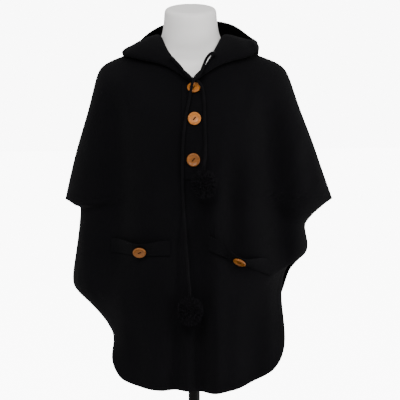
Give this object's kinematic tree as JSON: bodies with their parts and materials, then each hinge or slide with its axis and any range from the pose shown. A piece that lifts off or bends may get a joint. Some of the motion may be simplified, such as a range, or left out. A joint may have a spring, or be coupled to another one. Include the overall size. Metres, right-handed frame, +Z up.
{
  "type": "poncho on a dress form",
  "caption": "Hooded pullover knit poncho with pompom drawcords, a buttoned placket and pockets, worn by a limbless dress form that stands on a round base.",
  "frame": {"origin": "centre of the base plate's underside, on the floor", "axes": "+Z up, -Y to the front of the garment, +X to the wearer's left"},
  "size_m": [0.568, 0.3628, 1.0389],
  "materials": {
    "knit": "fine black knit, matt",
    "yarn": "black yarn, fluffy",
    "wood": "turned, light varnish",
    "form": "white, satin",
    "steel": "near-black, satin"
  },
  "bodies": {
    "root": {"front_panel": "knit", "back_panel": "knit", "hood": "knit", "placket": "knit", "pocket_welt_right": "knit", "pocket_welt_left": "knit", "drawcord_left": "yarn", "drawcord_right": "yarn", "pompom_left": "yarn", "pompom_right": "yarn", "placket_button_1": "wood", "placket_button_2": "wood", "placket_button_3": "wood", "pocket_button_right": "wood", "pocket_button_left": "wood", "dress_form": "form", "base_plate": "steel", "base_collar": "steel", "pole": "steel", "torso_flange": "steel"}
  },
  "joints": []
}
